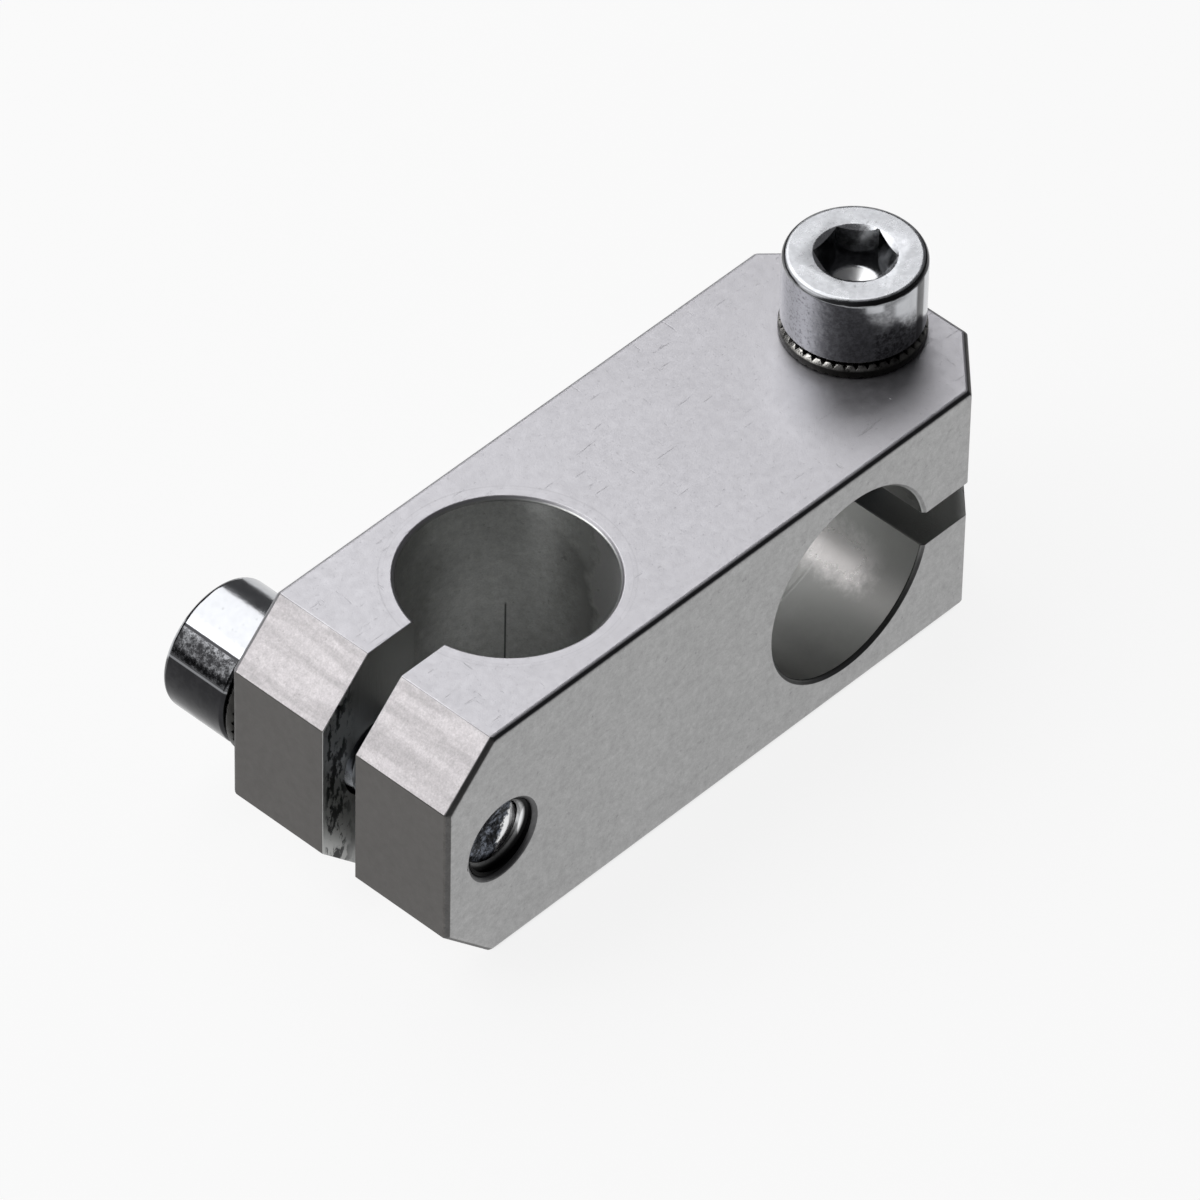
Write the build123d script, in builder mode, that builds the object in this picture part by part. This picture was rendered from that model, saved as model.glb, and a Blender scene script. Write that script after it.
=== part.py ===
from build123d import *
import math
import os

# All sizes are millimetres. X runs along the bar, Z is up, and the origin is the centre of the bottom face.

# Square bar with a big chamfer pair at each end
bar_length = 55.0
bar_width = 20.0
bar_height = 20.0
end_chamfer = 4.3
edge_break = 0.3

# Rod bores, one upright and one across, and the slits that let them close on a rod
rod_diameter = 15.0
bore_break = 0.25
slit_width = 3.0

# Clamping screws: hexagon socket cap screws with a 6 mm thread
screw_inset = 5.3
thread_diameter = 6.0
head_diameter = 10.0
head_height = 5.7
head_edge_bevel = 0.3
head_foot_bevel = 0.22
socket_across = 5.0
socket_depth = 2.8
socket_mouth_width = 0.42
socket_mouth_slope = 30.0
socket_floor_ledge = 0.6
socket_floor_slope = 25.0
tip_bevel = 0.55
tip_rim_width = 0.6
tip_cup_depth = 0.35
tip_recess = 1.2
side_socket_turn = 22.0
top_socket_turn = 9.0

# Conical lock washers with radial ribs on both faces
washer_margin = 0.1
washer_height = 1.2
washer_cone_rise = 0.25
washer_land = 0.25
washer_rim_bevel = 0.28
washer_foot_bevel = 0.12
rib_count = 40
rib_share = 0.48
rib_depth = 0.24

# Fits, each one a gap on the radius, and the least wall between a screw hole and a rod bore
thread_clearance = 0.05
hole_clearance = 0.2
tap_mouth_bevel = 0.3
screw_hole_wall = 0.15

# Sizes that follow from the ones above
bore_radius = rod_diameter / 2
tapped_radius = thread_diameter / 2
tap_mouth_radius = tapped_radius + tap_mouth_bevel
shank_radius = tapped_radius - thread_clearance
hole_radius = tapped_radius + hole_clearance
bore_edge_at_slit = math.sqrt(bore_radius**2 - (slit_width / 2) ** 2)
screw_reach = bore_edge_at_slit + screw_hole_wall + hole_radius
bore_inset = screw_inset + screw_reach
tip_radius = shank_radius - tip_bevel
neck_bevel = hole_clearance / 2
head_radius = head_diameter / 2
head_top = washer_height + head_height
socket_flat = socket_across / 2
socket_mouth_depth = socket_mouth_width * math.tan(math.radians(socket_mouth_slope))
socket_floor_radius = socket_flat - socket_floor_ledge
socket_floor_depth = socket_floor_radius * math.tan(math.radians(socket_floor_slope))
washer_radius = head_radius + washer_margin
rim_top = washer_height - washer_cone_rise
cone_slope = washer_cone_rise / (washer_radius - hole_radius)

# Each end has a frame at its bore: local Z is the bore's axis, local X points out of the bar's end,
# and the screw runs along local Y with its head on the minus side.
near_end = Plane(origin=(bore_inset - bar_length / 2, 0, bar_height / 2), x_dir=(-1, 0, 0), z_dir=(0, 0, 1))
far_end = Plane(origin=(bar_length / 2 - bore_inset, 0, bar_height / 2), x_dir=(1, 0, 0), z_dir=(0, 1, 0))


def screw_seat(end, grip):
    """Plane on the face under a screw's head, its normal pointing out of the bar along the screw."""
    origin = end.origin + end.x_dir * screw_reach - end.y_dir * (grip / 2)
    return Plane(origin=origin, x_dir=end.x_dir, z_dir=-end.y_dir)


def screw_exit(end, grip):
    """Plane on the face where a screw's tapped hole comes out, its normal pointing out of the bar."""
    origin = end.origin + end.x_dir * screw_reach + end.y_dir * (grip / 2)
    return Plane(origin=origin, x_dir=end.x_dir, z_dir=end.y_dir)


def circles_of(shape, radius):
    """The shape's circular edges of one radius, found to the nearest micrometre."""
    return shape.edges().filter_by(GeomType.CIRCLE).filter_by(lambda edge: abs(edge.radius - radius) < 0.001)


def half_section(seat):
    """Plane through a screw's axis: local X is the radius and local Y the height above the seat."""
    return Plane(origin=seat.origin, x_dir=seat.x_dir, z_dir=-seat.y_dir)


side_seat = screw_seat(near_end, bar_width)
top_seat = screw_seat(far_end, bar_height)


with BuildPart() as clamp_block:
    with BuildSketch():
        Rectangle(bar_length, bar_width)
    extrude(amount=bar_height)

    near_face = clamp_block.faces().sort_by(Axis.X)[0]
    chamfer(near_face.edges().filter_by(Axis.Y), end_chamfer)
    far_face = clamp_block.faces().sort_by(Axis.X)[-1]
    chamfer(far_face.edges().filter_by(Axis.Z), end_chamfer)

    # The big chamfers are cut last on the real bar, so the edges across them stay sharp
    near_sharp = clamp_block.edges().filter_by(Axis.Y).filter_by(lambda edge: edge.center().X < 0)
    far_sharp = clamp_block.edges().filter_by(Axis.Z).filter_by(lambda edge: edge.center().X > 0)
    chamfer(clamp_block.edges() - near_sharp - far_sharp, edge_break)

    # Each end's rod bore, the slit that opens it to the end face, and the screw hole across the slit
    for end, bore_length, grip in ((near_end, bar_height, bar_width), (far_end, bar_width, bar_height)):
        with BuildSketch(end):
            Circle(bore_radius)
        extrude(amount=bore_length / 2, both=True, mode=Mode.SUBTRACT)
        chamfer(clamp_block.edges(Select.LAST).filter_by(GeomType.CIRCLE), bore_break)

        with BuildSketch(end):
            Rectangle(bar_length, slit_width, align=(Align.MIN, Align.CENTER))
        extrude(amount=bore_length / 2, both=True, mode=Mode.SUBTRACT)

        with Locations(screw_seat(end, grip)):
            Hole(hole_radius, depth=grip / 2)
        with Locations(screw_exit(end, grip)):
            CounterSinkHole(tapped_radius, tap_mouth_radius, depth=grip / 2, counter_sink_angle=90)


def cap_screw(seat, grip, socket_turn):
    """Socket cap screw with its axis on the seat's normal and its head standing on the lock washer."""
    axis = Axis(seat.origin, seat.z_dir)
    tip = tip_recess - grip
    socket_floor = head_top - socket_depth
    with BuildPart() as screw:
        with BuildSketch(half_section(seat)):
            with BuildLine():
                Polyline(
                    (0, tip + tip_cup_depth),
                    (tip_radius - tip_rim_width, tip),
                    (tip_radius, tip),
                    (shank_radius, tip + tip_bevel),
                    (shank_radius, washer_height),
                    (head_radius - head_foot_bevel, washer_height),
                    (head_radius, washer_height + head_foot_bevel),
                    (head_radius, head_top),
                    (0, head_top),
                    close=True,
                )
            make_face()
        revolve(axis=axis)
        chamfer(screw.faces().sort_by(axis)[-1].edges(), head_edge_bevel)
        chamfer(circles_of(screw, shank_radius).sort_by(axis)[-1], neck_bevel)

        # Hexagon socket with a coned mouth and a coned floor
        with BuildSketch(seat.offset(head_top)):
            RegularPolygon(socket_flat, 6, major_radius=False, rotation=socket_turn)
        extrude(amount=-socket_depth, mode=Mode.SUBTRACT)
        with BuildSketch(half_section(seat)):
            with BuildLine():
                Polyline(
                    (0, head_top),
                    (socket_flat + socket_mouth_width, head_top),
                    (socket_flat, head_top - socket_mouth_depth),
                    (0, head_top - socket_mouth_depth),
                    close=True,
                )
            make_face()
            with BuildLine():
                Polyline(
                    (0, socket_floor),
                    (socket_floor_radius, socket_floor),
                    (0, socket_floor - socket_floor_depth),
                    close=True,
                )
            make_face()
        revolve(axis=axis, mode=Mode.SUBTRACT)
    return screw.part


def washer_groove(face_height, into_metal):
    """Cutter for one groove between two ribs, wider and deeper outwards; into_metal is -1 for down, 1 for up."""
    with BuildPart() as groove:
        for radius in (shank_radius, washer_radius + washer_margin):
            half_width = (1 - rib_share) * math.pi * radius / rib_count
            depth = into_metal * rib_depth * radius / washer_radius
            surface = face_height + cone_slope * (washer_radius - radius)
            with BuildSketch(Plane(origin=(radius, 0, surface), x_dir=(0, 1, 0), z_dir=(1, 0, 0))):
                with BuildLine():
                    Polyline((-2 * half_width, -depth), (2 * half_width, -depth), (0, depth), close=True)
                make_face()
        loft(ruled=True)
    return groove.part


def lock_washer(seat):
    """Conical washer: its outer rim stands on the bar and its inner rim carries the screw's head."""
    axis = Axis(seat.origin, seat.z_dir)
    upper_groove = washer_groove(rim_top, -1)
    lower_groove = washer_groove(0, 1)
    with BuildPart(seat) as washer:
        with BuildSketch(half_section(seat)):
            with BuildLine():
                Polyline(
                    (hole_radius, washer_cone_rise),
                    (washer_radius - washer_land, 0),
                    (washer_radius, 0),
                    (washer_radius, rim_top),
                    (hole_radius + washer_land, washer_height),
                    (hole_radius, washer_height),
                    close=True,
                )
            make_face()
        revolve(axis=axis)
        rim_edges = circles_of(washer, washer_radius).sort_by(axis)
        chamfer(rim_edges[-1], washer_rim_bevel)
        chamfer(rim_edges[0], washer_foot_bevel)
        with PolarLocations(0, rib_count):
            add(upper_groove, mode=Mode.SUBTRACT)
        with PolarLocations(0, rib_count, start_angle=180 / rib_count):
            add(lower_groove, mode=Mode.SUBTRACT)
    return washer.part


pieces = {
    "clamp_block": clamp_block.part,
    "side_clamp_screw": cap_screw(side_seat, bar_width, side_socket_turn),
    "side_lock_washer": lock_washer(side_seat),
    "top_clamp_screw": cap_screw(top_seat, bar_height, top_socket_turn),
    "top_lock_washer": lock_washer(top_seat),
}

os.makedirs("parts", exist_ok=True)
for name, piece in pieces.items():
    piece.label = name
    export_step(piece, f"parts/{name}.step")
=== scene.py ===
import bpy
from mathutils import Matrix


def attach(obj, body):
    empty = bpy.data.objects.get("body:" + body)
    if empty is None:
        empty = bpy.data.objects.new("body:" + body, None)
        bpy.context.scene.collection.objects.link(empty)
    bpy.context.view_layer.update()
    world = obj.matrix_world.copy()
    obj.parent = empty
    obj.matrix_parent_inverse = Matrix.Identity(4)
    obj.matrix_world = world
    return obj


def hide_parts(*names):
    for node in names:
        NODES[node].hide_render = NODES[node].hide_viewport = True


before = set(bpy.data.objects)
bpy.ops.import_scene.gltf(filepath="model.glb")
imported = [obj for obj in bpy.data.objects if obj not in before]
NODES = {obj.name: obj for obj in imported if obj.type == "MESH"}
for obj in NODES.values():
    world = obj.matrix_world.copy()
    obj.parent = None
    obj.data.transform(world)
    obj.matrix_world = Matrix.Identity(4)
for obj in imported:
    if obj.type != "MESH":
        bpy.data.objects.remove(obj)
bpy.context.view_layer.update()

import math

import bmesh
import bpy
from mathutils import Matrix, Quaternion, Vector

MM = 0.001

# The bar and its two bores, in millimetres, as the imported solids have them
HALF_LENGTH = 27.5
HALF_WIDTH = 10.0
HEIGHT = 20.0
MID_HEIGHT = HEIGHT / 2
CHAMFER_START = HALF_LENGTH - 4.3
BORE_X = 11.5015
BORE_RADIUS = 7.5
SLIT_HALF = 1.5
SCREW_X = 22.2

# A screw, in millimetres from its axis or above the face under its head
WASHER_HEIGHT = 1.2
HEAD_TOP = 6.9
SOCKET_HALF = 2.5
SOCKET_FLOOR = HEAD_TOP - 2.8
SOCKET_CONE_DEPTH = 0.886
SHANK_RADIUS = 2.95
SHANK_INSIDE = 2.1
TIP = -18.8
TIP_RADIUS = 2.4
TIP_CUP_DEPTH = 0.35
CONES = ((SOCKET_FLOOR - SOCKET_CONE_DEPTH, SOCKET_FLOOR), (TIP, TIP + TIP_CUP_DEPTH))
CONE_RADIUS = 1.9
CONE_RINGS = 8

# Threads: each one's radii are those of its crest, its root and the point where its flanks would meet
THREAD_PITCH = 1.0
THREAD_SLOPE = 1.732
THREAD_STEPS = 64
THREAD_TOP = 0.9
THREAD_BOTTOM = TIP + 0.02
THREAD_RUNOUT = 0.6
SCREW_THREAD = (2.94, 2.40, 3.04)
JAW_THREAD = (2.975, 2.47, 3.10)
JAW_INNER = -(MID_HEIGHT + SLIT_HALF)
JAW_MOUTH = 0.3 - HEIGHT

# Rounding of edges in millimetres, and the share of it that each kind of edge takes
BAR_ROUNDING = 0.14
BREAK_SHARE = 1.0
BAR_EDGE_SHARE = 0.4
SCREW_ROUNDING = 0.2
HEAD_RIM_SHARE = 1.0
HEAD_FOOT_SHARE = 0.5
SOCKET_MOUTH_SHARE = 0.1
WASHER_ROUNDING = 0.03

# Angles in degrees that count as flat, as an edge and as sharp, and the least distance and area, in metres
FLAT_ANGLE = 0.4
EDGE_ANGLE = 22
WASHER_EDGE_ANGLE = 28
BAR_SHARP_ANGLE = 25
SHARP_ANGLE = 30
WELD_DISTANCE = 1e-7
LEAST_AREA = 1e-16

# Stage, in metres and degrees. Softboxes: name, azimuth, elevation, width, height, radiance
SOFTBOXES = (
    ("softbox_back", 96, 56, 1.0, 0.55, 1.85),
    ("softbox_left", 150, 33, 0.34, 0.50, 1.45),
)
SOFTBOX_DISTANCE = 0.62
SOFTBOX_TARGET = (0, 0, 0.01)
FLOOR_RADIUS = 1.6
FLOOR_DROP = 0.00004
FLOOR_PAPER = (0.90, 0.90, 0.90, 1.0)
FLOOR_WHITE = 0.88
WORLD_GREY = (0.08, 0.08, 0.083, 1)
CAMERA_LENS = 377.53
CAMERA_PLACE = (-0.447183, -0.409156, 0.600467)
CAMERA_TARGET = (-0.00133587, 0.00101625, 0.01)
CAMERA_ROLL = 1.2465


def seat_matrix(origin, x_axis, z_axis):
    """Places a screw's own frame, with its axis along Z and its seat at the origin, on the bar."""
    x = Vector(x_axis)
    z = Vector(z_axis)
    turn = Matrix((x, z.cross(x), z)).transposed().to_4x4()
    return Matrix.Translation(Vector(origin) * MM) @ turn


SEATS = {
    "side": seat_matrix((-SCREW_X, HALF_WIDTH, MID_HEIGHT), (-1, 0, 0), (0, 1, 0)),
    "top": seat_matrix((SCREW_X, 0, HEIGHT), (1, 0, 0), (0, 0, 1)),
}


# Short calls for building shader nodes

# The usual range of a noise, and which inputs of a mix node take numbers and which take colours
NOISE_RANGE = (0.3, 0.7)
MIX_NUMBERS = (2, 3)
MIX_COLOURS = (6, 7)


class Graph:
    """One material's nodes, with lengths in millimetres in the piece's own frame."""

    def __init__(self, name, place=None):
        self.material = bpy.data.materials.new(name)
        self.material.use_nodes = True
        self.tree = self.material.node_tree
        self.shader = self.tree.nodes["Principled BSDF"]
        coordinates = self.node("TexCoord")
        self.point = self.vector("SCALE", coordinates.outputs["Object"], scale=1 / MM)
        self.normal = coordinates.outputs["Normal"]
        if place is not None:
            inverse = place.inverted()
            self.point = self.turned(self.point, inverse, inverse.translation / MM)
            self.normal = self.turned(self.normal, inverse, Vector())
        self.x, self.y, self.z = self.split(self.point)
        self.nx, self.ny, self.nz = self.split(self.normal)

    def node(self, kind, inputs=None, **settings):
        """A new node with its settings and inputs, where an input is a value or another node's socket."""
        node = self.tree.nodes.new("ShaderNode" + kind)
        for name, value in settings.items():
            setattr(node, name, value)
        for name, value in (inputs or {}).items():
            self.set(node.inputs[name], value)
        return node

    def set(self, socket, value):
        """Links a socket to another, or gives it a value."""
        if isinstance(value, bpy.types.NodeSocket):
            self.tree.links.new(value, socket)
        else:
            socket.default_value = value

    def split(self, vector):
        """The three parts of a vector."""
        return self.node("SeparateXYZ", {"Vector": vector}).outputs

    def turned(self, vector, matrix, shift):
        """A vector taken into another frame by a rotation and a shift."""
        x, y, z = self.split(vector)
        parts = []
        for row in range(3):
            a = self.math("MULTIPLY", x, matrix[row][0])
            b = self.math("MULTIPLY_ADD", y, matrix[row][1], a)
            c = self.math("MULTIPLY_ADD", z, matrix[row][2], b)
            parts.append(self.math("ADD", c, shift[row]))
        return self.node("CombineXYZ", {"X": parts[0], "Y": parts[1], "Z": parts[2]}).outputs[0]

    def math(self, operation, a, b=None, c=None):
        """One sum on numbers."""
        node = self.node("Math", operation=operation)
        for socket, value in zip(node.inputs, (a, b, c)):
            if value is not None:
                self.set(socket, value)
        return node.outputs[0]

    def vector(self, operation, a, b=None, scale=None):
        """One sum on vectors."""
        node = self.node("VectorMath", operation=operation)
        self.set(node.inputs[0], a)
        if b is not None:
            self.set(node.inputs[1], b)
        if scale is not None:
            self.set(node.inputs["Scale"], scale)
        return node.outputs["Value"] if operation == "DISTANCE" else node.outputs[0]

    def stretched(self, factors, shift=(0, 0, 0)):
        """The piece's own point, scaled along each axis and shifted."""
        scaled = self.vector("MULTIPLY", self.point, Vector(factors))
        return self.vector("ADD", scaled, Vector(shift))

    def shifted(self, *shift):
        """The piece's own point, shifted to another part of a noise."""
        return self.vector("ADD", self.point, Vector(shift))

    def noise(self, scale, detail, rough, point=None, distortion=0.0):
        """Smooth noise between 0 and 1, about 0.5; scale is features per millimetre."""
        inputs = {
            "Vector": self.point if point is None else point,
            "Scale": scale,
            "Detail": detail,
            "Roughness": rough,
            "Distortion": distortion,
        }
        return self.node("TexNoise", inputs).outputs[0]

    def span(self, value, low, high, start=0.0, end=1.0, smooth=True):
        """Maps low..high to start..end and holds the ends."""
        inputs = {"Value": value, "From Min": low, "From Max": high, "To Min": start, "To Max": end}
        kind = "SMOOTHSTEP" if smooth else "LINEAR"
        return self.node("MapRange", inputs, interpolation_type=kind, clamp=True).outputs[0]

    def under(self, value, low, high):
        """1 below low, falling to 0 at high."""
        return self.span(value, low, high, 1.0, 0.0)

    def vary(self, noise, low, high):
        """The usual range of a noise, stretched evenly to low..high."""
        return self.span(noise, *NOISE_RANGE, low, high, smooth=False)

    def band(self, value, centre, half, soft):
        """1 where a value lies within half of centre, falling to 0 over soft."""
        distance = self.absolute(self.math("SUBTRACT", value, centre))
        return self.under(distance, half, half + soft)

    def times(self, *values):
        """The product of numbers or masks."""
        result = values[0]
        for value in values[1:]:
            result = self.math("MULTIPLY", result, value)
        return result

    def plus(self, *values):
        """The sum of numbers."""
        result = values[0]
        for value in values[1:]:
            result = self.math("ADD", result, value)
        return result

    def either(self, *masks):
        """The greatest of some masks."""
        result = masks[0]
        for mask in masks[1:]:
            result = self.math("MAXIMUM", result, mask)
        return result

    def absolute(self, value):
        """A number without its sign."""
        return self.math("ABSOLUTE", value)

    def inverse(self, mask):
        """1 where a mask is 0, and 0 where it is 1."""
        return self.math("SUBTRACT", 1.0, mask)

    def mix(self, mask, a, b):
        """A number that is a where the mask is 0 and b where it is 1."""
        node = self.node("Mix", data_type="FLOAT")
        self.set(node.inputs[0], mask)
        for index, value in zip(MIX_NUMBERS, (a, b)):
            self.set(node.inputs[index], value)
        return node.outputs[0]

    def tint(self, mask, a, b):
        """A colour that is a where the mask is 0 and b where it is 1."""
        node = self.node("Mix", data_type="RGBA")
        self.set(node.inputs[0], mask)
        for index, value in zip(MIX_COLOURS, (a, b)):
            if not isinstance(value, bpy.types.NodeSocket):
                value = (*value, 1.0)
            self.set(node.inputs[index], value)
        return node.outputs[2]

    def shaded(self, colour, amount):
        """A colour scaled by a number."""
        return self.vector("SCALE", colour, scale=amount)

    def angle(self, y, x):
        """Angle round an axis in degrees, from -180 to 180, from the two coordinates across it."""
        return self.times(self.math("ARCTAN2", y, x), 180 / math.pi)

    def turn(self):
        """Angle round the piece's own Z axis in degrees, with 0 along X."""
        return self.angle(self.y, self.x)

    def radius(self, a, b):
        """Distance from an axis, from the two coordinates across it."""
        return self.math("SQRT", self.math("MULTIPLY_ADD", a, a, self.math("MULTIPLY", b, b)))

    def bump(self, height, depth, normal=None):
        """Surface relief; depth is the height in millimetres that a value of 1 stands up by."""
        inputs = {"Height": height, "Strength": 1.0, "Distance": depth * MM}
        if normal is not None:
            inputs["Normal"] = normal
        return self.node("Bump", inputs).outputs[0]

    def finish(self, colour, roughness, normal):
        """Completes a metal."""
        self.set(self.shader.inputs["Base Color"], colour)
        self.set(self.shader.inputs["Roughness"], roughness)
        self.set(self.shader.inputs["Normal"], normal)
        self.shader.inputs["Metallic"].default_value = 1.0
        return self.material


# The bar's aluminium

TOP_FACE = (0.600, 0.592, 0.622)
# The side faces are painted darker than the top as shade, and the end faces much darker still
SIDE_FACE = (0.405, 0.405, 0.405)
CHAMFER_FACE = (0.570, 0.546, 0.556)
END_FACE_SHADE = (0.122, 0.117, 0.113)
# The edge breaks are painted as shade: nearly black, less dark on the ends and much lighter on the back
EDGE_BREAK = (0.060, 0.060, 0.064)
END_BREAK = (0.105, 0.103, 0.102)
BACK_BREAK = (0.340, 0.338, 0.350)
BORE_WALL = (0.500, 0.505, 0.496)
HIGHLIGHT_WALL = (0.900, 0.885, 0.882)
HOLE_MOUTH = (0.120, 0.120, 0.122)
GRIME = (0.018, 0.018, 0.019)

# Where one surface gives way to the next, in millimetres
BORE_EDGE = (BORE_RADIUS + 0.06, BORE_RADIUS + 0.12)
MOUTH_EDGE = (BORE_RADIUS + 0.30, BORE_RADIUS + 0.36)
HOLE_EDGE = (3.28, 3.33)
SLIT_WALL = (SLIT_HALF + 0.01, 0.02)
SLIT_FROM = 16.9
SLIT_WHOLE = 17.0
END_EDGE = (HALF_LENGTH - 0.30, HALF_LENGTH - 0.15)
CHAMFER_EDGE = (CHAMFER_START - 0.3, CHAMFER_START - 0.1)
DIAGONAL = 0.707

# Marks: radius, half width and softness of the collar's rings, and where the tool line and the painted shadow
# by the top head lie
OUTER_RING = (8.62, 0.02, 0.06)
INNER_RING = (8.34, 0.01, 0.05)
COLLAR_EDGE = (8.2, 8.6)
TOOL_LINE_X = 5.38
TOOL_LINE_Y = 5.23
TOOL_LINE_ACROSS = (-0.697, 0.717)
HEAD_SHADOW_PLACE = (16.6, -5.0, HEIGHT)

# How far a pattern varies a surface's lightness: surface, pattern, darkest, lightest
SURFACE_TONES = (
    ("top", "mottle", 0.975, 1.02),
    ("top", "blotch", 0.98, 1.015),
    ("side", "mottle", 0.89, 1.10),
    ("side", "grain", 0.90, 1.10),
    ("side", "blotch", 0.93, 1.06),
    ("side", "streak", 0.97, 1.025),
    ("chamfer", "grain", 0.86, 1.12),
    ("chamfer", "mottle", 0.90, 1.08),
    ("end", "mottle", 0.96, 1.04),
)

# Lightness of each mark against the surface round it
MARK_TONES = {
    "speck": 0.90,
    "chip": 0.80,
    "pit": 0.78,
    "scratch": 0.92,
    "ring": 0.90,
    "nick": 1.12,
    # The painted shadow by the top head
    "painted_head_shadow": 0.80,
    "collar": 1.025,
    "tool_line": 0.20,
}


def hollow_zones(g):
    """Masks of the bores, their mouths, the slits and the screw holes, and distances from the bores' axes."""
    low = g.plus(g.z, -MID_HEIGHT)
    zone = {"far_half": g.span(g.x, -0.1, 0.1)}
    zone["near_radius"] = g.radius(g.plus(g.x, BORE_X), g.y)
    zone["far_radius"] = g.radius(g.plus(g.x, -BORE_X), low)
    zone["near_bore"] = g.under(zone["near_radius"], *BORE_EDGE)
    zone["far_bore"] = g.under(zone["far_radius"], *BORE_EDGE)

    # The mouths' chamfers, by how far they face along the bore's axis
    near_rim = g.under(zone["near_radius"], *MOUTH_EDGE)
    far_rim = g.under(zone["far_radius"], *MOUTH_EDGE)
    zone["rim"] = g.either(near_rim, far_rim)
    axial = g.mix(zone["far_half"], g.absolute(g.nz), g.absolute(g.ny))
    zone["mouth"] = g.times(zone["rim"], g.span(axial, 0.06, 0.15), g.span(axial, 0.98, 0.92))

    zone["near_slit"] = g.times(g.band(g.y, 0.0, *SLIT_WALL), g.under(g.x, -SLIT_WHOLE, -SLIT_FROM))
    zone["far_slit"] = g.times(g.band(low, 0.0, *SLIT_WALL), g.span(g.x, SLIT_FROM, SLIT_WHOLE))
    zone["slit"] = g.either(zone["near_slit"], zone["far_slit"])
    zone["inside"] = g.either(zone["near_bore"], zone["far_bore"], zone["slit"])

    side_hole = g.under(g.radius(g.plus(g.x, SCREW_X), low), *HOLE_EDGE)
    top_hole = g.under(g.radius(g.plus(g.x, -SCREW_X), g.y), *HOLE_EDGE)
    zone["hole"] = g.times(g.either(side_hole, top_hole), g.inverse(zone["slit"]))
    return zone


def block_zones(g):
    """Masks of all the bar's surfaces, from where a point lies and which way it faces."""
    along = g.absolute(g.nx)
    across = g.absolute(g.ny)
    upright = g.absolute(g.nz)
    outwards = g.absolute(g.x)
    zone = hollow_zones(g)
    solid = g.inverse(zone["inside"])
    beside_slit = g.inverse(zone["slit"])

    sideways = g.mix(zone["far_half"], across, upright)
    slanted = g.times(g.band(along, DIAGONAL, 0.1, 0.05), g.span(outwards, *CHAMFER_EDGE))
    zone["chamfer"] = g.times(slanted, g.under(sideways, 0.15, 0.3), solid)
    endwise = g.math("SUBTRACT", along, g.either(across, upright))
    zone["end"] = g.times(g.span(endwise, 0.05, 0.15), g.span(outwards, *END_EDGE))
    flat = g.either(along, across, upright)
    other = g.either(zone["chamfer"], zone["inside"], zone["rim"])
    zone["break"] = g.times(g.span(flat, 0.94, 0.82), g.inverse(other))
    zone["end_break"] = g.span(along, 0.15, 0.35)
    zone["back_break"] = g.times(g.span(g.ny, 0.15, 0.35), g.span(g.nz, 0.15, 0.35))
    zone["side"] = g.times(g.span(g.math("SUBTRACT", across, upright), 0.0, 0.1), beside_slit)
    zone["top"] = g.times(g.span(upright, 0.9, 0.97), beside_slit)
    zone["drawn"] = g.times(g.either(g.span(across, 0.9, 0.97), zone["top"]), solid)
    return zone


def handling_marks(g, zone):
    """Hairline scratches, pits, specks and chips on the outer faces."""
    hair_along = g.noise(1.0, 3.0, 0.5, g.stretched((0.35, 4.5, 4.5), (3, 1, 9)), 0.6)
    hair_across = g.noise(1.0, 3.0, 0.5, g.stretched((4.0, 0.5, 2.0), (9, 4, 1)), 0.8)
    hairs = g.either(g.span(hair_along, 0.69, 0.75), g.span(hair_across, 0.70, 0.76))
    pits = g.span(g.noise(1.7, 3.0, 0.6, g.shifted(31, 7, 3)), 0.63, 0.74)
    specks = g.span(g.noise(3.4, 3.0, 0.6), 0.61, 0.70)
    chips = g.span(g.noise(5.5, 3.0, 0.7), 0.64, 0.72)
    return {
        "scratch": g.times(hairs, zone["drawn"]),
        "pit": g.times(pits, zone["side"]),
        "speck": g.times(specks, g.either(zone["drawn"], zone["chamfer"])),
        "chip": g.times(chips, g.either(zone["side"], zone["chamfer"])),
    }


def collar_marks(g, zone):
    """A rod collar has left two faint rings round the upright bore, and a paler face within them."""
    face = g.times(zone["top"], g.inverse(zone["near_bore"]))
    long_arcs = g.span(g.noise(0.13, 1.0, 0.4), 0.36, 0.62)
    outer = g.times(g.band(zone["near_radius"], *OUTER_RING), g.mix(long_arcs, 1.0, 0.35))
    inner = g.times(g.band(zone["near_radius"], *INNER_RING), g.mix(long_arcs, 0.15, 0.7))
    return {
        "ring": g.times(g.either(outer, inner), face),
        "collar": g.times(g.under(zone["near_radius"], *COLLAR_EDGE), face),
    }


def tool_line(g, zone):
    """The one dark line that a tool has left down the lower half of the upright bore."""
    line_x = g.plus(g.x, BORE_X - TOOL_LINE_X)
    line_y = g.plus(g.y, -TOOL_LINE_Y)
    across_x, across_y = TOOL_LINE_ACROSS
    offset = g.absolute(g.plus(g.times(line_x, across_x), g.times(line_y, across_y)))
    this_side = g.times(g.span(line_x, -1.5, -1.0), g.span(line_y, -1.5, -1.0))
    line = g.times(g.under(offset, 0.03, 0.09), this_side, g.under(g.z, MID_HEIGHT, MID_HEIGHT + 0.4))
    return g.times(line, zone["near_bore"])


def rod_polish(g, zone):
    """A painted highlight: one stripe of the far bore, and the wall across from it, made brighter and
    smoother.
    """
    turn = g.angle(g.plus(g.z, -MID_HEIGHT), g.plus(g.x, -BORE_X))
    frayed = g.vary(g.noise(1.6, 4.0, 0.7), -3.5, 3.5)
    stripe = g.band(g.plus(turn, frayed), -41.0, 4.0, 17.0)
    stripe = g.times(stripe, g.span(g.plus(g.y, g.times(frayed, 0.15)), -8.0, -5.4))
    opposite = g.band(turn, 140.0, 26.0, 16.0)
    return g.times(g.either(stripe, opposite), zone["far_bore"])


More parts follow.
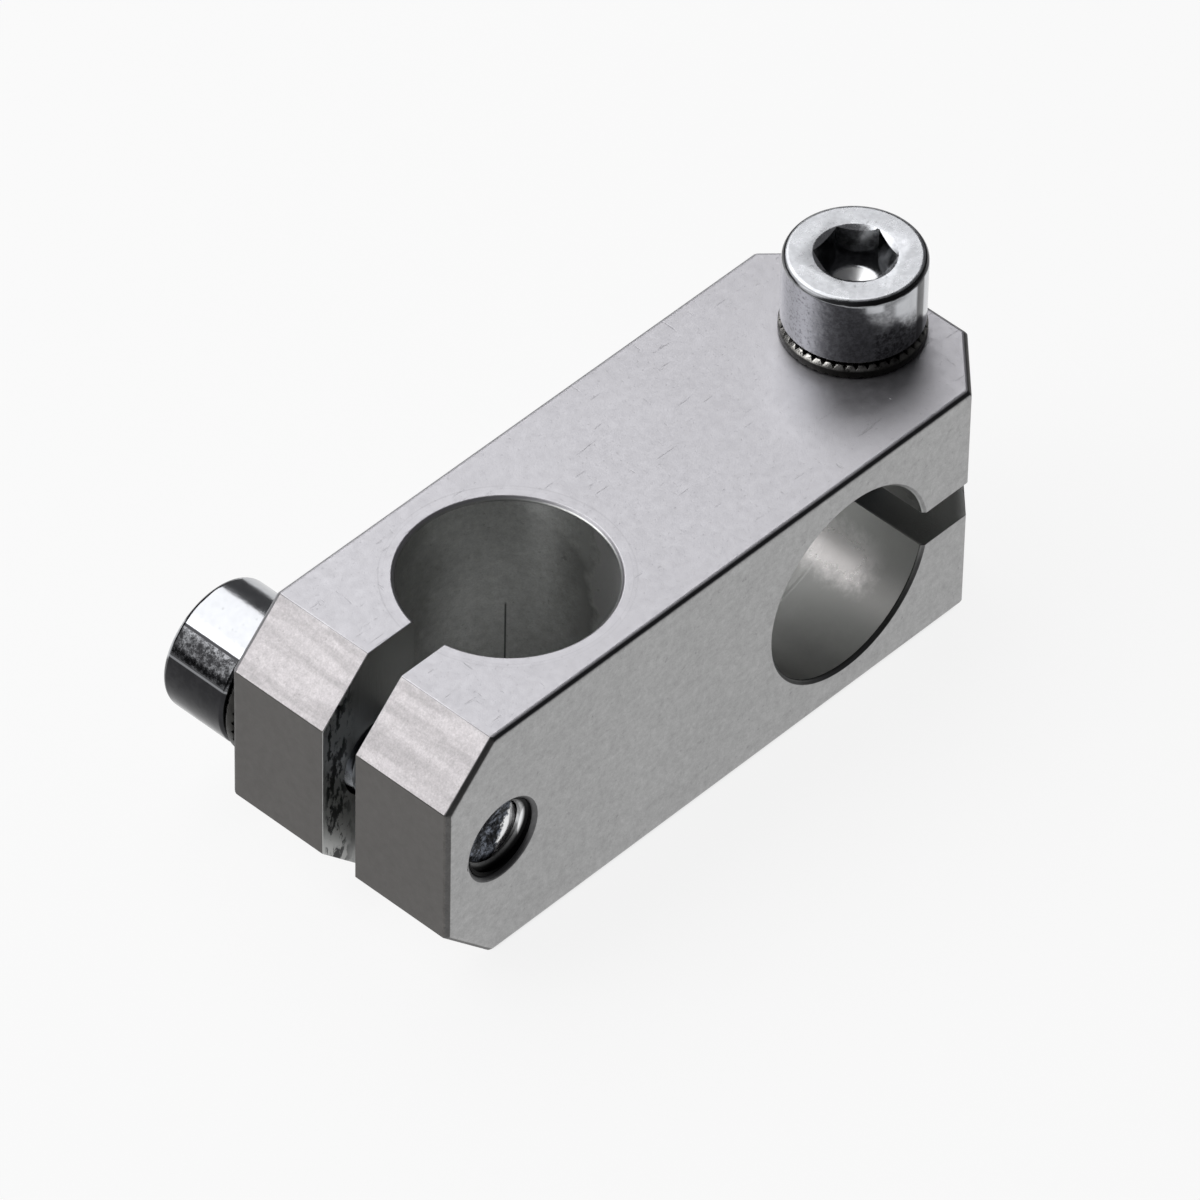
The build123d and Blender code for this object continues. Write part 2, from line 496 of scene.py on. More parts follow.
def saw_smears(g, zone):
    """Black smears and dots where the slits were sawn, kept to the first millimetres of their walls."""
    depth = g.plus(HALF_LENGTH, g.times(g.absolute(g.x), -1.0))
    front = g.times(g.span(depth, 0.15, 0.5), g.under(depth, 1.6, 3.4))
    place = g.noise(1.0, 2.0, 0.5, g.stretched((0.9, 0.9, 0.45), (7, 3, 5)))
    upright_smear = g.noise(1.0, 4.0, 0.65, g.stretched((2.1, 2.1, 0.75), (2, 8, 5)))
    streaks = g.span(g.plus(upright_smear, g.times(place, 0.5)), 0.73, 0.84, 0.0, 0.95)
    dots = g.noise(1.0, 2.0, 0.5, g.stretched((2.6, 2.6, 2.0), (5, 2, 9)))
    black = g.either(streaks, g.span(dots, 0.64, 0.70, 0.0, 0.9))
    flat_smear = g.noise(1.0, 4.0, 0.6, g.stretched((1.2, 0.35, 1.2), (4, 1, 7)))
    near = g.times(zone["near_slit"], front, black)
    return g.either(near, g.times(zone["far_slit"], front, g.span(flat_smear, 0.54, 0.64)))


def edge_nicks(g, zone):
    """Bright nicks along the long top edges and along the edges of the big chamfers."""
    by_side = g.times(g.span(g.absolute(g.y), HALF_WIDTH - 0.7, HALF_WIDTH - 0.35), zone["top"])
    by_chamfer = g.band(g.absolute(g.x), CHAMFER_START, 0.12, 0.2)
    by_chamfer = g.times(by_chamfer, g.inverse(zone["inside"]), g.inverse(zone["side"]))
    return g.times(g.either(by_side, by_chamfer), g.span(g.noise(1.7, 2.0, 0.4), 0.60, 0.68))


def painted_head_shadow(g, zone):
    """A painted shadow: one darker patch on the top face, near the head."""
    away = g.vector("DISTANCE", g.point, Vector(HEAD_SHADOW_PLACE))
    uneven = g.times(g.noise(1.1, 3.0, 0.6), 1.6)
    return g.times(g.under(g.plus(away, uneven), 0.8, 2.6), zone["top"])


def block_marks(g, zone):
    """Masks of what use and tools have left on the bar."""
    mark = {**handling_marks(g, zone), **collar_marks(g, zone)}
    mark["tool_line"] = tool_line(g, zone)
    mark["polish"] = rod_polish(g, zone)
    mark["smear"] = saw_smears(g, zone)
    mark["nick"] = edge_nicks(g, zone)
    # Painted shadow by the top head
    mark["painted_head_shadow"] = painted_head_shadow(g, zone)
    return mark


def block_tone(g, zone, mark):
    """Lightness over the bar, about 1, with a painted shadow by the top head and painted light and shade on
    the bore and slit walls.
    """
    pattern = {
        "grain": g.noise(7.0, 4.0, 0.65),
        "mottle": g.noise(1.9, 4.0, 0.65),
        "blotch": g.noise(0.8, 4.0, 0.7, g.shifted(2, 9, 4)),
        "streak": g.noise(1.0, 4.0, 0.6, g.stretched((0.25, 2.6, 2.6))),
    }
    tone = g.span(g.noise(0.16, 3.0, 0.5), 0.35, 0.65, 0.985, 1.015, smooth=False)
    for surface, name, darkest, lightest in SURFACE_TONES:
        tone = g.times(tone, g.mix(zone[surface], 1.0, g.vary(pattern[name], darkest, lightest)))

    # The mill has left bands across the big chamfers
    banded_near = g.noise(1.0, 4.0, 0.6, g.stretched((1.0, 0.11, 1.0), (5, 11, 2)), 0.5)
    banded_far = g.noise(1.0, 4.0, 0.6, g.stretched((1.0, 1.0, 0.11), (5, 11, 2)), 0.5)
    banded = g.mix(zone["far_half"], banded_near, banded_far)
    tone = g.times(tone, g.mix(zone["chamfer"], 1.0, g.span(banded, 0.36, 0.64, 0.86, 1.08)))

    for name, lightness in MARK_TONES.items():
        tone = g.times(tone, g.mix(mark[name], 1.0, lightness))
    tone = g.times(tone, g.mix(zone["mouth"], 1.0, g.span(g.z, 7.0, 10.5, 0.16, 0.70)))
    # Painted light and shade on the bore and slit walls
    return g.times(tone, painted_wall_light_and_shade(g, zone))


def painted_wall_light_and_shade(g, zone):
    """Lightness of the bore and slit walls: painted light on the near bore's wall where reflections fall, and
    painted shade in the slits, all through the far one and towards the bottom of the near one.
    """
    turn = g.angle(g.y, g.plus(g.x, BORE_X))
    turn = g.plus(turn, g.vary(g.noise(0.35, 3.0, 0.5), -6.0, 6.0))
    middle = g.times(g.band(turn, 42.0, 22.0, 34.0), g.span(g.z, 4.0, 13.0, 0.05, 0.40))
    upper = g.times(g.band(turn, -40.0, 30.0, 12.0), g.span(g.z, 5.0, 12.0), 1.2)
    by_slit = g.times(g.band(turn, 165.0, 10.0, 22.0), g.under(g.z, 2.0, 12.0), 0.60)
    lit = g.span(g.plus(g.z, g.times(turn, -0.07)), 15.0, 17.2)
    lit = g.times(g.band(turn, -12.0, 40.0, 16.0), lit, 0.75)
    near_wall = g.plus(1.0, g.times(zone["near_bore"], g.either(middle, upper, by_slit, lit)))
    # Painted shade in the slits
    far_slit = g.mix(g.times(zone["far_slit"], g.inverse(zone["far_bore"])), 1.0, 0.62)
    near_slit = g.mix(zone["near_slit"], 1.0, g.span(g.z, 0.0, 6.0, 0.55, 1.0))
    return g.times(near_wall, far_slit, near_slit)


def block_relief(g, zone, mark, mottle):
    """Grain everywhere, tool lines in the bores and on the slit walls, and the marks on the faces."""
    grain = g.noise(9.0, 4.0, 0.6)
    turned_near = g.noise(1.0, 3.0, 0.6, g.stretched((0.12, 0.12, 9.0)))
    turned_far = g.noise(1.0, 3.0, 0.6, g.stretched((0.12, 9.0, 0.12)))
    tool = g.plus(g.times(zone["near_bore"], turned_near), g.times(zone["far_bore"], turned_far))
    sawn = g.times(zone["slit"], g.noise(1.0, 3.0, 0.6, g.stretched((5.0, 5.0, 0.3))))
    sunk = g.plus(mark["scratch"], g.times(mark["pit"], 0.7), g.times(mark["speck"], 0.4))
    relief = g.bump(g.plus(grain, g.times(mottle, 0.8)), 0.005)
    relief = g.bump(sunk, -0.008, relief)
    return g.bump(g.plus(tool, sawn), 0.012, relief)


def aluminium_material():
    """Satin aluminium: drawn faces, milled chamfers, sawn ends, bored holes and handling marks, with painted
    shade on the side and end faces, the edge breaks and the slits, painted light on the near bore's wall, a
    painted highlight in the far bore and a painted shadow by the top head.
    """
    g = Graph("block_aluminium")
    zone = block_zones(g)
    mark = block_marks(g, zone)
    # Painted shade: the side faces darker than the top, the end faces much darker
    colour = g.tint(zone["side"], TOP_FACE, SIDE_FACE)
    colour = g.tint(zone["chamfer"], colour, CHAMFER_FACE)
    colour = g.tint(zone["end"], colour, END_FACE_SHADE)
    # Painted shade on the edge breaks, set by the way they face
    broken = g.tint(zone["end_break"], EDGE_BREAK, END_BREAK)
    colour = g.tint(zone["break"], colour, g.tint(zone["back_break"], broken, BACK_BREAK))
    colour = g.tint(zone["inside"], colour, BORE_WALL)
    # Painted highlight: a bright, smooth stripe in the far bore
    colour = g.tint(mark["polish"], colour, HIGHLIGHT_WALL)
    colour = g.tint(zone["hole"], colour, HOLE_MOUTH)
    colour = g.shaded(colour, block_tone(g, zone, mark))
    colour = g.tint(mark["smear"], colour, GRIME)

    mottle = g.noise(1.3, 4.0, 0.65)
    rough = g.vary(mottle, 0.42, 0.50)
    rough = g.mix(zone["chamfer"], rough, 0.50)
    rough = g.mix(zone["inside"], rough, 0.38)
    rough = g.mix(mark["polish"], rough, 0.25)
    return g.finish(colour, rough, block_relief(g, zone, mark, mottle))


# The tapped thread

THREAD_GROOVE = (0.012, 0.012, 0.012)
THREAD_CREST = (0.900, 0.905, 0.910)
HIGHLIGHT_SIDE = (-0.906, 0.423)
GLINT_SIDE = (-0.985, -0.17)


def tapped_material():
    """Cut thread: black grooves, and a painted highlight along the crest on one side."""
    g = Graph("tapped_thread")
    crest = g.span(g.radius(g.x, g.y), 2.80, 2.56)
    grain = g.noise(6.0, 3.0, 0.6)
    # Painted highlight: the crest made bright on one side, with a glint
    toward = g.plus(g.times(g.x, HIGHLIGHT_SIDE[0]), g.times(g.y, HIGHLIGHT_SIDE[1]))
    painted_patches = g.times(g.span(toward, 0.9, 2.2, 0.10, 0.55), g.span(grain, 0.25, 0.6, 0.6, 1.0))
    glint = g.span(g.plus(g.times(g.x, GLINT_SIDE[0]), g.times(g.y, GLINT_SIDE[1])), 2.36, 2.50)
    colour = g.tint(g.times(crest, g.either(painted_patches, glint)), THREAD_GROOVE, THREAD_CREST)
    return g.finish(colour, g.mix(crest, 0.5, 0.3), g.bump(grain, 0.01))


# The screws' zinc plating

ZINC = (0.500, 0.509, 0.530)
ZINC_DULL = (0.300, 0.315, 0.340)
ZINC_PAINTED_SHADE = (0.028, 0.028, 0.030)
ZINC_TIP = (0.050, 0.055, 0.066)
ZINC_HIGHLIGHT = (0.920, 0.925, 0.930)
CRESCENT_SIDE = (-0.91, -0.41)


def patches(g):
    """Mask of uneven patches."""
    return g.span(g.noise(1.6, 4.0, 0.7, g.shifted(3, 5, 8)), 0.40, 0.60)


def side_head_painted_shade(g):
    """Painted shade round the head at the bar's side, from 0 to 1: a speckled strip over a black one, crossed
    by a painted highlight line.
    """
    turn = g.turn()
    fine = g.span(g.noise(2.2, 5.0, 0.85), 0.44, 0.66, 1.0, 0.62)
    patchy = patches(g)
    upper = g.times(g.band(turn, 39.5, 13.0, 1.0), g.either(fine, g.band(turn, 51.5, 0.8, 1.5)))
    lower = g.times(g.band(turn, -25.0, 48.0, 12.0), g.mix(patchy, 1.0, 0.985))
    # A painted highlight line through the shade
    bright_line = g.band(turn, 24.0, 0.5, 0.9)
    away = g.times(g.span(g.absolute(turn), 120.0, 165.0), g.mix(patchy, 0.5, 0.25))
    return g.times(g.either(upper, lower, away), g.mix(bright_line, 1.0, 0.55))


def top_head_painted_shade(g):
    """Painted shade round the head on the bar's top, from 0 to 1: heaviest low on one side, left off in two
    painted highlights under the rim.
    """
    turn = g.turn()
    painted_patches = g.span(g.noise(3.0, 5.0, 0.8, g.shifted(4, 2, 6)), 0.40, 0.62)
    speckled = g.span(g.noise(4.5, 3.0, 0.6), 0.50, 0.66, 0.0, 0.35)
    left = g.times(g.span(g.absolute(turn), 130.0, 165.0), g.plus(0.27, speckled))
    shade_band = g.times(g.band(turn, -135.0, 25.0, 30.0), g.mix(painted_patches, 0.66, 0.40))
    low = g.times(g.band(turn, -98.0, 20.0, 12.0), g.under(g.z, 3.6, 5.2), g.mix(painted_patches, 0.90, 0.45))
    edge = g.times(g.band(turn, -75.0, 4.0, 4.0), 0.95)
    away = g.times(g.band(turn, 40.0, 80.0, 30.0), g.mix(g.noise(0.7, 3.0, 0.5), 0.5, 0.0))
    # Painted highlights under the rim, where the shade is left off
    highlight_left = g.times(g.band(turn, -122.0, 5.0, 4.0), g.band(g.z, 6.15, 0.18, 0.25))
    highlight_right = g.times(g.band(turn, -97.0, 5.0, 5.0), g.band(g.z, 5.5, 0.4, 0.5))
    highlights = g.either(highlight_left, highlight_right)
    return g.times(g.either(left, shade_band, low, edge, away), g.inverse(highlights))


def painted_head_shade(g, side, round_side, rim):
    """How much painted shade darkens a head's round side and rim, from 0 to 1."""
    turn = g.turn()
    # Painted shade on the rim too, left off where it catches the light
    if side == "side":
        shade = side_head_painted_shade(g)
        dark_rim = g.mix(g.band(turn, 38.0, 15.0, 4.0), 0.95, 0.0)
    else:
        shade = top_head_painted_shade(g)
        dark_rim = g.mix(g.span(g.absolute(turn), 125.0, 160.0), 0.95, 0.6)
    return g.either(g.times(round_side, shade), g.times(rim, dark_rim))


def screw_zones(g):
    """Masks of a screw's surfaces, and the distance from its axis."""
    out = g.radius(g.x, g.y)
    zone = {"out": out}
    zone["inside"] = g.times(g.under(out, 2.93, 2.97), g.span(g.z, 1.3, 1.5))
    zone["wall"] = g.times(zone["inside"], g.span(g.absolute(g.nz), 0.5, 0.3))
    floor = g.under(g.z, SOCKET_FLOOR + 0.05, SOCKET_FLOOR + 0.2)
    zone["bottom"] = g.times(g.under(out, 1.6, 1.8), floor, zone["inside"])
    zone["thread"] = g.under(g.z, THREAD_TOP - 0.05, THREAD_TOP + 0.1)
    at_tip = g.under(g.z, TIP + 0.5, TIP + 0.6)
    zone["tip"] = g.times(at_tip, g.under(out, TIP_RADIUS + 0.02, TIP_RADIUS + 0.1))
    zone["round"] = g.times(g.span(out, 4.6, 4.8), g.inverse(zone["thread"]), g.span(g.nz, 0.5, 0.2))
    zone["face"] = g.times(g.span(g.nz, 0.7, 0.9), g.span(g.z, HEAD_TOP - 0.5, HEAD_TOP - 0.3))
    rim = g.times(g.span(out, 4.70, 4.76), g.span(g.z, HEAD_TOP - 0.45, HEAD_TOP - 0.35))
    zone["rim"] = g.times(rim, g.span(g.nz, 0.97, 0.90), g.span(g.nz, 0.20, 0.35))
    return zone


def zinc_tone(g, zone, mottle):
    """Lightness over a screw, about 1: flecks, a mottled, nicked face, painted shade on the socket walls and
    painted light on the head's top face.
    """
    face = zone["face"]
    fleck = g.times(g.span(g.noise(2.6, 3.0, 0.6), 0.62, 0.72), g.inverse(face))
    tone = g.times(g.vary(mottle, 0.94, 1.05), g.mix(fleck, 1.0, 0.84))
    # Painted shade on the socket walls, and the head's top face painted lighter
    tone = g.times(tone, g.mix(zone["wall"], 1.0, g.mix(patches(g), 0.16, 0.34)), g.mix(face, 1.0, 1.22))
    tone = g.times(tone, g.mix(face, 1.0, g.span(g.noise(2.4, 4.0, 0.7), 0.35, 0.65, 0.90, 1.05)))
    nicks = g.span(g.noise(3.0, 4.0, 0.7), 0.60, 0.70)
    nicked = g.times(nicks, g.band(zone["out"], 3.1, 0.3, 0.4), face)
    return g.times(tone, g.mix(nicked, 1.0, 0.55))


def tip_colour(g):
    """The pitted tip, with a painted highlight as a crescent along one side of its rim."""
    ragged = g.noise(2.4, 4.0, 0.7, g.shifted(6, 1, 2))
    aside = g.plus(g.times(g.x, CRESCENT_SIDE[0]), g.times(g.y, CRESCENT_SIDE[1]))
    # Painted highlight: a bright crescent on one side of the rim
    crescent = g.span(g.plus(aside, g.times(ragged, 1.1)), 1.72, 1.98)
    pitted = g.shaded(ZINC_TIP, g.span(g.noise(1.9, 4.0, 0.85), 0.42, 0.74, 0.1, 5.0))
    return g.tint(crescent, pitted, ZINC_HIGHLIGHT)


def zinc_material(side):
    """Bright zinc plating on a forged head: soft dents and a pitted tip, with painted shade on the round
    sides, rims and socket walls, painted light on the top face and socket floor, and a painted highlight on
    the tip.
    """
    g = Graph(f"{side}_screw_zinc")
    zone = screw_zones(g)
    mottle = g.noise(1.1, 4.0, 0.6)
    colour = g.tint(g.times(zone["thread"], 0.7), ZINC, ZINC_DULL)
    colour = g.shaded(colour, zinc_tone(g, zone, mottle))
    # Painted shade on the heads' round sides and rims
    colour = g.tint(painted_head_shade(g, side, zone["round"], zone["rim"]), colour, ZINC_PAINTED_SHADE)
    # Painted light: the socket's floor painted bright
    colour = g.tint(zone["bottom"], colour, ZINC_HIGHLIGHT)
    colour = g.tint(zone["tip"], colour, tip_colour(g))

    rough = g.plus(g.vary(mottle, 0.13, 0.20), g.times(zone["thread"], 0.12))
    rough = g.mix(zone["face"], rough, g.span(mottle, 0.35, 0.65, 0.25, 0.36))
    rough = g.mix(zone["bottom"], rough, 0.34)
    even = g.either(zone["face"], zone["thread"], zone["inside"])
    dents = g.times(g.noise(0.7, 3.0, 0.5), g.inverse(even))
    grain = g.noise(8.0, 3.0, 0.6)
    relief = g.bump(dents, 0.020)
    relief = g.bump(g.plus(g.times(mottle, 0.5), g.times(grain, 0.2)), 0.005, relief)
    return g.finish(colour, rough, relief)


# The lock washers' steel

SPRING_STEEL = (0.032, 0.031, 0.029)
SPRING_STEEL_WORN_HIGHLIGHT = (0.780, 0.765, 0.730)


def spring_steel_material(name, place):
    """Dark phosphated spring steel, rubbed bright on the rib crests, with the brightness kept to one side as
    a painted highlight.
    """
    g = Graph(name, place)
    mottle = g.noise(2.0, 4.0, 0.6)
    grain = g.noise(10.0, 3.0, 0.6)
    crest = g.times(g.span(g.radius(g.x, g.y), 4.5, 4.9), g.span(g.z, 0.62, 0.8))
    # Rubbed crests, with a painted highlight that keeps them bright on one side
    lit_side = g.span(g.times(g.x, -0.2), 0.35, 0.8, 0.15, 1.0)
    rub_and_highlight = g.times(crest, lit_side, g.span(mottle, 0.3, 0.5))
    colour = g.tint(g.times(rub_and_highlight, 0.6), SPRING_STEEL, SPRING_STEEL_WORN_HIGHLIGHT)
    colour = g.shaded(colour, g.vary(mottle, 0.75, 1.25))
    rough = g.mix(rub_and_highlight, g.vary(grain, 0.32, 0.46), 0.24)
    return g.finish(colour, rough, g.bump(g.plus(mottle, g.times(grain, 0.5)), 0.02))


# The floor's paper


def floor_material():
    """Pale paper, seen whiter than its light alone makes it, by eye and in metal alike, shadow kept."""
    g = Graph("floor_paper")
    g.set(g.shader.inputs["Base Color"], FLOOR_PAPER)
    g.set(g.shader.inputs["Normal"], g.bump(g.noise(1.5, 3.0, 0.6), 0.004))
    g.shader.inputs["Roughness"].default_value = 0.9
    g.shader.inputs["Specular IOR Level"].default_value = 0.1
    path = g.node("LightPath")
    seen = g.either(path.outputs["Is Camera Ray"], path.outputs["Is Glossy Ray"])
    seen = g.either(seen, path.outputs["Is Transmission Ray"])
    white = g.node("Emission", {"Color": (1.0, 1.0, 1.0, 1.0), "Strength": 1.0})

    # Under the bar the paper stays as its light makes it
    under_x = g.under(g.absolute(g.x), CHAMFER_START - 1.0, CHAMFER_START)
    under_y = g.under(g.absolute(g.y), HALF_WIDTH - 1.0, HALF_WIDTH)
    open_floor = g.inverse(g.times(under_x, under_y))
    blend = g.node("MixShader", {"Fac": g.times(seen, open_floor, FLOOR_WHITE)})
    g.set(blend.inputs[1], g.shader.outputs[0])
    g.set(blend.inputs[2], white.outputs[0])
    g.set(g.tree.nodes["Material Output"].inputs["Surface"], blend.outputs[0])
    return g.material


# Meshes


def thread_profile(crest, root, apex):
    """Points of one turn of thread: share of the pitch and radius, from mid root to mid root."""
    crest_half = (apex - crest) / THREAD_SLOPE / THREAD_PITCH
    root_half = (apex - root) / THREAD_SLOPE / THREAD_PITCH
    return [(-root_half, root), (-crest_half, crest), (crest_half, crest), (root_half, root)]


def thread_point(angle, radius, height):
    """A point in metres, from an angle in radians and lengths in millimetres."""
    return radius * math.cos(angle) * MM, radius * math.sin(angle) * MM, height * MM


def add_thread(bm, bottom, top, profile, limit):
    """Helical surface between two heights; limit gives the radius that a point may have at a height."""
    start = math.floor((bottom - THREAD_PITCH) / THREAD_PITCH)
    stop = math.ceil((top + THREAD_PITCH) / THREAD_PITCH)
    steps = int((stop - start) * THREAD_STEPS)
    rows = []
    for i in range(steps + 1):
        angle = 2 * math.pi * i / THREAD_STEPS
        rise = start + THREAD_PITCH * i / THREAD_STEPS
        row = []
        for share, radius in profile:
            height = min(max(rise + share * THREAD_PITCH, bottom), top)
            row.append(bm.verts.new(thread_point(angle, limit(height, radius), height)))
        rows.append(row)
    last = len(profile) - 1
    for i in range(steps):
        for k in range(last):
            bm.faces.new((rows[i][k], rows[i + 1][k], rows[i + 1][k + 1], rows[i][k + 1]))
        if i + THREAD_STEPS + 1 <= steps:
            above = i + THREAD_STEPS
            bm.faces.new((rows[i][last], rows[i + 1][last], rows[above + 1][0], rows[above][0]))


def tidy_mesh(bm):
    """Welds doubles and drops faces with no area."""
    bmesh.ops.remove_doubles(bm, verts=bm.verts, dist=WELD_DISTANCE)
    bmesh.ops.dissolve_degenerate(bm, edges=bm.edges, dist=WELD_DISTANCE)
    loose = [face for face in bm.faces if face.calc_area() < LEAST_AREA]
    bmesh.ops.delete(bm, geom=loose, context="FACES")


def packed_mesh(name, frame_matrix):
    """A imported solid's mesh taken into a frame, welded and with its flat faces made whole."""
    node = NODES[name]
    bm = bmesh.new()
    bm.from_mesh(node.data)
    bm.transform(frame_matrix @ node.matrix_world)
    bmesh.ops.remove_doubles(bm, verts=bm.verts, dist=WELD_DISTANCE)
    flat = math.radians(FLAT_ANGLE)
    bmesh.ops.dissolve_limit(bm, angle_limit=flat, verts=bm.verts, edges=bm.edges)
    return bm


def new_piece(name, bm, matrix, material, sharp=SHARP_ANGLE):
    """Object from a bmesh in metres, smooth but for its sharp edges."""
    mesh = bpy.data.meshes.new(name)
    bm.to_mesh(mesh)
    bm.free()
    mesh.polygons.foreach_set("use_smooth", [True] * len(mesh.polygons))
    mesh.set_sharp_from_angle(angle=math.radians(sharp))
    mesh.materials.append(material)
    piece = bpy.data.objects.new(name, mesh)
    piece.matrix_world = matrix
    bpy.context.scene.collection.objects.link(piece)
    return piece


def rounded(piece, width, harden=True):
    """Rounds the edges that carry a bevel weight."""
    modifier = piece.modifiers.new("Rounded edges", "BEVEL")
    modifier.width = width * MM
    modifier.segments = 3
    modifier.limit_method = "WEIGHT"
    modifier.use_clamp_overlap = False
    modifier.harden_normals = harden
    modifier.miter_outer = "MITER_ARC"


def weigh_edges(bm, rule):
    """Sets each edge's bevel weight by a rule on the edge and the angle across it."""
    layer = bm.edges.layers.float.get("bevel_weight_edge")
    if layer is None:
        layer = bm.edges.layers.float.new("bevel_weight_edge")
    for edge in bm.edges:
        if len(edge.link_faces) == 2:
            edge[layer] = rule(edge, math.degrees(edge.calc_face_angle(0.0)))


def edge_middle(edge):
    """The middle of an edge, in millimetres."""
    return (edge.verts[0].co + edge.verts[1].co) / 2 / MM


# Screws and threads


def faces_between(bm, low, high):
    """Faces whose centres lie between two heights, in millimetres, each with its distance from the axis."""
    for face in bm.faces:
        centre = face.calc_center_median() / MM
        if low < centre.z < high:
            yield face, centre.to_2d().length


def cut_level(bm, height, faces):
    """Cuts some faces along a level plane."""
    edges = list({edge for face in faces for edge in face.edges})
    verts = list({vert for face in faces for vert in face.verts})
    geom = verts + edges + faces
    bmesh.ops.bisect_plane(bm, geom=geom, plane_co=(0, 0, height * MM), plane_no=(0, 0, 1))


def cut_away(bm, low, high):
    """Leaves out a shank's outer wall between two heights."""
    for height in (high, low):
        cut_level(bm, height, list(bm.faces))
    shank = [face for face, out in faces_between(bm, low, high) if out > SHANK_INSIDE]
    bmesh.ops.delete(bm, geom=shank, context="FACES")


def ring_cones(bm):
    """Cuts the shallow cones of a screw's socket floor and cupped end into rings, for even shading."""
    for low, high in CONES:
        for ring in range(1, CONE_RINGS):
            cone = [face for face, out in faces_between(bm, low, high) if out < CONE_RADIUS]
            cut_level(bm, low + (high - low) * ring / CONE_RINGS, cone)


def screw_edges(edge, angle):
    """The head's rim is rounded most, its foot and socket less, and the thread not at all."""
    middle = edge_middle(edge)
    if angle < EDGE_ANGLE or middle.z < WASHER_HEIGHT - 0.05:
        return 0.0
    at_socket = middle.to_2d().length < 4.0
    if at_socket:
        return SOCKET_MOUTH_SHARE if middle.z > HEAD_TOP - 0.05 else 0.0
    return HEAD_RIM_SHARE if middle.z > 3.0 else HEAD_FOOT_SHARE


def screw_limit(height, radius):
    """Keeps a screw's thread within the tip's bevel, and runs it out into the plain shank under the head."""
    to_top = THREAD_TOP - height
    if to_top < THREAD_RUNOUT:
        radius = max(radius, SHANK_RADIUS - to_top * 0.9)
    return min(radius, TIP_RADIUS + height - TIP)


def jaw_limit(height, radius):
    """Lets a jaw's thread rise from the plain bore's wall at both its ends."""
    from_ends = min(height - JAW_MOUTH, JAW_INNER - height)
    return max(radius, JAW_THREAD[0] - from_ends)


def flatten_walls(mesh):
    """Keeps a socket's six walls flat in shading, by marking all their edges sharp."""
    edges = {edge.key: edge for edge in mesh.edges}
    for face in mesh.polygons:
        centre = face.center / MM
        upright = abs(face.normal.z) < 0.02
        in_socket = centre.z > SOCKET_FLOOR - 0.1 and centre.to_2d().length < SOCKET_HALF + 0.2
        if upright and in_socket:
            for key in face.edge_keys:
                edges[key].use_edge_sharp = True


def make_screw(side, material):
    """Cap screw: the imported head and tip, with a real thread where the solid has a plain shank."""
    bm = packed_mesh(f"{side}_clamp_screw", SEATS[side].inverted())
    cut_away(bm, THREAD_BOTTOM, THREAD_TOP)
    ring_cones(bm)
    weigh_edges(bm, screw_edges)
    add_thread(bm, THREAD_BOTTOM, THREAD_TOP, thread_profile(*SCREW_THREAD), screw_limit)
    tidy_mesh(bm)
    piece = new_piece(f"{side}_screw_threaded", bm, SEATS[side], material)
    flatten_walls(piece.data)
    rounded(piece, SCREW_ROUNDING)
    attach(piece, f"{side}_screw")
    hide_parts(f"{side}_clamp_screw")


def make_jaw_thread(side, material):
    """Internal thread of a tapped jaw, standing in from the plain bore's wall."""
    bm = bmesh.new()
    add_thread(bm, JAW_MOUTH, JAW_INNER, thread_profile(*JAW_THREAD), jaw_limit)
    tidy_mesh(bm)
    for face in bm.faces:
        face.normal_flip()
    piece = new_piece(f"{side}_jaw_thread", bm, SEATS[side], material)
    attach(piece, "block")


# Bar


def is_break(face):
    """Whether a face is a strip of the bar's edge break, by the way it faces."""
    x, y, z = (abs(part) for part in face.normal)
    if max(x, y, z) > 0.95:
        return False
    far = face.calc_center_median().x > 0
    return (z if far else y) > 0.4


def by_bore(edge):
    """Whether an edge belongs to a bore's mouth or wall."""
    middle = edge_middle(edge)
    near = math.hypot(middle.x + BORE_X, middle.y)
    far = math.hypot(middle.x - BORE_X, middle.z - MID_HEIGHT)
    return min(near, far) < BORE_RADIUS + 0.5


def block_edges(edge, angle):
    """Edge breaks are rounded almost right over and other edges dulled, but not where a slit meets a bore."""
    if angle < EDGE_ANGLE:
        return 0.0
    at_bore = by_bore(edge)
    if any(is_break(face) for face in edge.link_faces) and not at_bore:
        return BREAK_SHARE
    if at_bore and edge.calc_length() > MID_HEIGHT * MM:
        return 0.0
    return BAR_EDGE_SHARE


def make_block(material):
    """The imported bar, with rounded edges."""
    bm = packed_mesh("clamp_block", Matrix())
    weigh_edges(bm, block_edges)
    piece = new_piece("clamp_bar", bm, Matrix(), material, BAR_SHARP_ANGLE)
    rounded(piece, BAR_ROUNDING, harden=False)
    shading = piece.modifiers.new("Even shading", "WEIGHTED_NORMAL")
    shading.keep_sharp = True
    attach(piece, "block")
    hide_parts("clamp_block")


# Lock washers


def dress_washer(side):
    """Gives a packed lock washer its steel and slightly rounded edges."""
    node = NODES[f"{side}_lock_washer"]
    steel = spring_steel_material(f"{side}_washer_steel", SEATS[side])
    for slot in node.material_slots:
        slot.material = steel
    weld = node.modifiers.new("Weld", "WELD")
    weld.merge_threshold = WELD_DISTANCE
    flat = node.modifiers.new("Flat faces", "DECIMATE")
    flat.decimate_type = "DISSOLVE"
    flat.angle_limit = math.radians(FLAT_ANGLE)
    edges = node.modifiers.new("Rounded edges", "BEVEL")
    edges.width = WASHER_ROUNDING * MM
    edges.segments = 2
    edges.limit_method = "ANGLE"
    edges.angle_limit = math.radians(WASHER_EDGE_ANGLE)
    edges.use_clamp_overlap = True
    edges.harden_normals = True


# Stage


def aim(obj, target, roll=0.0):
    """Turns a lamp or camera to look at a point, with a roll in degrees."""
    away = (obj.location - Vector(target)).normalized()
    turn = (-away).to_track_quat("-Z", "Y") @ Quaternion((0, 0, 1), math.radians(roll))
    obj.rotation_mode = "QUATERNION"
    obj.rotation_quaternion = turn


